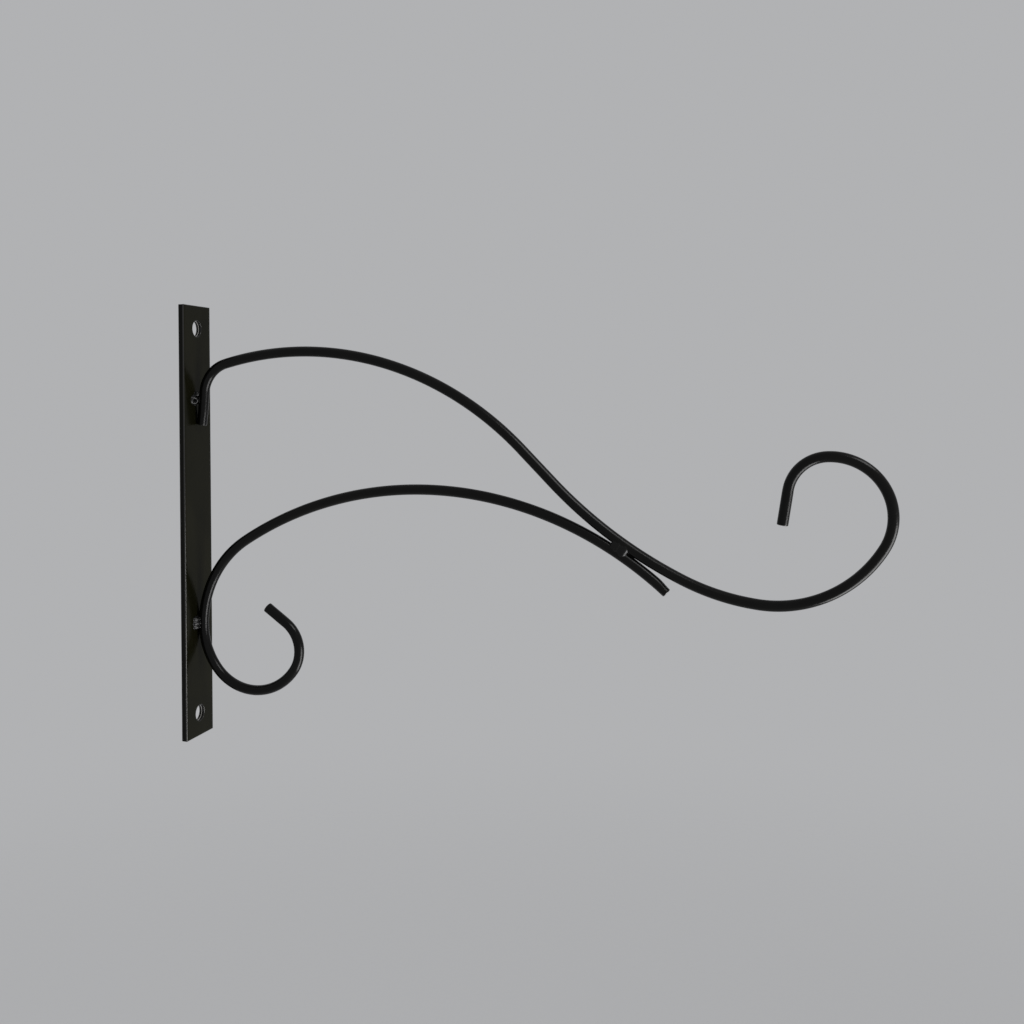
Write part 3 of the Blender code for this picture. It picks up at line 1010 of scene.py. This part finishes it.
def rub_lines_group():
    """Faint hairline rubs that run one way, as a mask."""
    group, entry, leave = new_group(
        "rub_lines",
        [("Place", "place"), ("Stretch", "place"), ("Amount", "value")],
        [("Mask", "value")],
    )
    inputs = {0: entry["Place"], 1: entry["Stretch"]}
    stretched = place_node(group, "ShaderNodeVectorMath", inputs, operation="MULTIPLY").outputs[0]
    hairs = cloud(group, stretched, 1.0, RUB_LINE_NOISE)
    drift = cloud(group, entry["Place"], RUB_PATCH_SCALE, RUB_PATCH_NOISE)
    lines = mask_between(group, hairs, RUB_LINES)
    patches = mask_between(group, drift, RUB_PATCHES)
    mask = calc(group, "MULTIPLY", lines, patches, entry["Amount"])
    group.links.new(mask, leave["Mask"])
    return group


def make_groups():
    """Every shared finish, built once."""
    return {
        "skin": powder_skin_group(),
        "tone": tone_drift_group(),
        "gloss": gloss_drift_group(),
        "edge": thin_edge_group(),
        "dust": settled_dust_group(),
        "rubs": rub_lines_group(),
    }


def coat_colour(tree, groups, look, place, worked):
    """The coat's colour, with painted light on its worked sides and a painted highlight on the
    bores' ridges, and how much its thin edges and dust dull it.
    """
    tone = use_group(tree, groups["tone"], {
        "Place": place, "Scale": look["tone_scale"], "Cool": look["cool"], "Warm": look["warm"],
    })
    # Painted light: worked faces take the look's lighter side colour, which stands in for the light
    # the plate's narrow sides catch
    sides = blend(tree, mask_between(tree, worked, PAINTED_SIDE_LIGHT_BAND), tone["Colour"], look["side"])
    thin = use_group(tree, groups["edge"], {
        "Colour": sides, "Thin Colour": look["thin"], "Edge": worked, "Place": place,
        "Scale": look["edge_scale"], "Amount": look["edge_amount"],
    })
    # Painted highlight: the ridge in each bore takes the look's light grey colour
    with_painted_glint = blend(tree, mask_between(tree, worked, PAINTED_GLINT_BAND), thin["Colour"], look["steel"])
    dust = use_group(tree, groups["dust"], {
        "Colour": with_painted_glint, "Dust Colour": look["dust"], "Place": place,
        "Scale": look["dust_scale"], "Amount": look["dust_amount"],
    })
    masks = calc(tree, "ADD", dust["Mask"], thin["Mask"])
    return dust["Colour"], calc(tree, "MULTIPLY", masks, DULLING_SHARE)


def coat_roughness(tree, groups, look, place, dulled):
    """The coat's roughness from its drift of gloss, what dulls it and its rubs."""
    gloss = use_group(tree, groups["gloss"], {
        "Place": place, "Broad Scale": look["gloss_scale"], "Fine Scale": look["gloss_fine_scale"],
        "Glossy": look["glossy"], "Satin": look["satin"],
    })
    rubs = use_group(tree, groups["rubs"], {
        "Place": place, "Stretch": look["rub_stretch"], "Amount": look["rub_amount"],
    })
    return calc(tree, "ADD", gloss["Roughness"], dulled, rubs["Mask"])


def coat_relief(tree, groups, look, place):
    """The normal that the coat's skin gives."""
    skin_height = use_group(tree, groups["skin"], {
        "Place": place, "Peel Scale": look["peel_scale"], "Grain Scale": look["grain_scale"],
        "Nib Scale": look["nib_scale"],
    })
    inputs = {
        "Strength": look["bump"], "Distance": look["bump_depth"], "Height": skin_height["Height"],
    }
    return place_node(tree, "ShaderNodeBump", inputs).outputs["Normal"]


def coat_material(name, groups, look):
    """A powder coat from the shared finishes, with the look's own values."""
    material = bpy.data.materials.new(name)
    material.use_nodes = True
    tree = material.node_tree
    shader = tree.nodes["Principled BSDF"]
    place = place_node(tree, "ShaderNodeTexCoord").outputs["Object"]
    worked = place_node(tree, "ShaderNodeAttribute", attribute_name="edge").outputs["Fac"]
    colour, dulled = coat_colour(tree, groups, look, place, worked)
    pooled = calc(tree, "MULTIPLY", mask_between(tree, worked, POOLED_EDGES), look["edge_coat"])
    roughness = coat_roughness(tree, groups, look, place, dulled)
    tree.links.new(colour, shader.inputs["Base Color"])
    tree.links.new(pooled, shader.inputs["Coat Weight"])
    tree.links.new(roughness, shader.inputs["Roughness"])
    tree.links.new(coat_relief(tree, groups, look, place), shader.inputs["Normal"])
    shader.inputs["Specular IOR Level"].default_value = look["shine"]
    shader.inputs["Specular Tint"].default_value = look["tint"]
    shader.inputs["Coat Roughness"].default_value = look["coat_rough"]
    return material


COMMON_LOOK = {
    # Side colour: painted light on worked faces, set near the bars' warm tone
    "side": (0.0036, 0.0035, 0.0031, 1.0),
    "thin": (0.0120, 0.0105, 0.0080, 1.0),
    # Painted highlight: the light grey of the ridge in each bore
    "steel": (0.45, 0.44, 0.42, 1.0),
    "edge_coat": 1.0,
    "coat_rough": 0.16,
    "dust": (0.16, 0.15, 0.135, 1.0),
    "tint": WHITE,
    "tone_scale": 26.0,
    "edge_scale": 900.0,
    "edge_amount": 0.5,
    "dust_scale": 120.0,
    "dust_amount": 0.022,
    "gloss_scale": 45.0,
    "gloss_fine_scale": 420.0,
    "peel_scale": 820.0,
    "grain_scale": 2600.0,
    "nib_scale": 260.0,
    "bump": 1.0,
    "bump_depth": 0.000034,
    "rub_amount": 0.05,
}

PLATE_LOOK = {
    **COMMON_LOOK,
    "cool": (0.0027, 0.0027, 0.0012, 1.0),
    "warm": (0.0042, 0.0040, 0.0018, 1.0),
    # Painted light: the lighter, cooler colour of the plate's narrow sides, rounded edges, rims and
    # bores
    "side": (0.0055, 0.0055, 0.0064, 1.0),
    "tint": (1.0, 0.97, 0.58, 1.0),
    "glossy": 0.17,
    "satin": 0.25,
    "rub_stretch": (700.0, 700.0, 26.0),
    "shine": 0.07,
}

BAR_LOOK = {
    **COMMON_LOOK,
    "cool": (0.0017, 0.0017, 0.0017, 1.0),
    "warm": (0.0029, 0.0028, 0.0025, 1.0),
    "glossy": 0.20,
    "satin": 0.27,
    "rub_stretch": (240.0, 900.0, 240.0),
    "shine": 0.148,
}

WELD_LOOK = {
    **COMMON_LOOK,
    "cool": (0.0009, 0.0009, 0.0009, 1.0),
    "warm": (0.0017, 0.0016, 0.0014, 1.0),
    "glossy": 0.22,
    "satin": 0.29,
    "edge_amount": 0.0,
    "rub_amount": 0.03,
    "rub_stretch": (300.0, 300.0, 300.0),
    "nib_scale": 900.0,
    "shine": 0.23,
}


# Studio

def make_world():
    """A pale, even studio in view and in reflections, with a slightly brighter fill."""
    world = bpy.data.worlds.new("pale_studio")
    bpy.context.scene.world = world
    world.use_nodes = True
    tree = world.node_tree
    output = tree.nodes["World Output"]
    fill = tree.nodes["Background"]
    fill.inputs["Color"].default_value = WHITE
    fill.inputs["Strength"].default_value = STUDIO_FILL
    shown = place_node(tree, "ShaderNodeBackground", {"Color": STUDIO_PALE, "Strength": 1.0})
    rays = place_node(tree, "ShaderNodeLightPath").outputs
    shown_rays = [rays[kind] for kind in SHOWN_RAYS]
    seen = calc(tree, "MAXIMUM", *shown_rays)
    mixed = place_node(tree, "ShaderNodeMixShader", {
        0: seen, 1: fill.outputs["Background"], 2: shown.outputs["Background"],
    })
    tree.links.new(mixed.outputs[0], output.inputs["Surface"])


def floor_material():
    """Plain pale floor that fades into the studio with distance, so no horizon shows."""
    material = bpy.data.materials.new("pale_floor")
    material.use_nodes = True
    tree = material.node_tree
    shader = tree.nodes["Principled BSDF"]
    shader.inputs["Base Color"].default_value = FLOOR_TONE
    shader.inputs["Roughness"].default_value = FLOOR_ROUGHNESS
    shader.inputs["Specular IOR Level"].default_value = FLOOR_SHINE
    place = place_node(tree, "ShaderNodeNewGeometry").outputs["Position"]
    length = place_node(tree, "ShaderNodeVectorMath", {0: place}, operation="LENGTH")
    faded = mask_between(tree, length.outputs["Value"], FLOOR_FADE)
    clear = place_node(tree, "ShaderNodeBsdfTransparent")
    mixed = place_node(tree, "ShaderNodeMixShader", {
        0: faded, 1: shader.outputs["BSDF"], 2: clear.outputs["BSDF"],
    })
    tree.links.new(mixed.outputs[0], tree.nodes["Material Output"].inputs["Surface"])
    return material


def make_floor():
    """A round floor well below the hook, which hangs on a wall."""
    work = bmesh.new()
    bmesh.ops.create_circle(work, cap_ends=True, segments=FLOOR_SEGMENTS, radius=FLOOR_RADIUS)
    floor = bpy.data.objects.new("studio_floor", mesh_from(work, "studio_floor"))
    floor.location = (CAD_HIGH.x / 2, 0.0, -FLOOR_DROP)
    floor.data.materials.append(floor_material())
    bpy.context.scene.collection.objects.link(floor)


def softbox(name, target, place, size, power):
    """A soft rectangular lamp that the camera doesn't see."""
    light = bpy.data.lights.new(name, "AREA")
    light.shape = "RECTANGLE"
    light.size, light.size_y = size
    light.energy = power
    lamp = bpy.data.objects.new(name, light)
    lamp.location = place
    lamp.rotation_euler = (Vector(target) - Vector(place)).to_track_quat("-Z", "Y").to_euler()
    lamp.visible_camera = False
    bpy.context.scene.collection.objects.link(lamp)


def make_lamps():
    """A softbox above and to the right of the hook, and a larger one below and to its right."""
    middle = (CAD_HIGH.x / 2, 0.0, 0.0)
    softbox("upper_softbox", middle, **UPPER_SOFTBOX)
    softbox("lower_softbox", middle, **LOWER_SOFTBOX)


def make_camera():
    """The photograph's view."""
    data = bpy.data.cameras.new("photo_camera")
    data.sensor_width = SENSOR_WIDTH_MM
    data.lens = FOCAL_PIXELS * SENSOR_WIDTH_MM / FRAME_PIXELS
    data.shift_y = (AXIS_ROW_PIXEL - FRAME_PIXELS / 2) / FRAME_PIXELS
    camera = bpy.data.objects.new("photo_camera", data)
    camera.location = CAMERA_PLACE
    camera.rotation_euler = (math.radians(90 - CAMERA_PITCH), 0.0, math.radians(CAMERA_AZIMUTH))
    bpy.context.scene.collection.objects.link(camera)
    bpy.context.scene.camera = camera


def main():
    """Dress the hook and light it."""
    bpy.context.scene.view_settings.view_transform = "Standard"
    groups = make_groups()
    plate_coat = coat_material("plate_coat", groups, PLATE_LOOK)
    bar_coat = coat_material("bar_coat", groups, BAR_LOOK)
    weld_coat = coat_material("weld_coat", groups, WELD_LOOK)
    make_wall_plate(plate_coat)
    make_bar("hook_arm", arm_line(), LEG_END_SLANT, LEG_PINCH_SHARE, bar_coat, ARM_SEED)
    make_bar("scroll_brace", brace_line(), TAIL_END_SLANT, TAIL_PINCH_SHARE, bar_coat, BRACE_SEED)
    make_upper_plate_weld(weld_coat)
    make_lower_plate_weld(weld_coat)
    make_arm_brace_weld(weld_coat)
    make_world()
    make_floor()
    make_lamps()
    make_camera()


main()
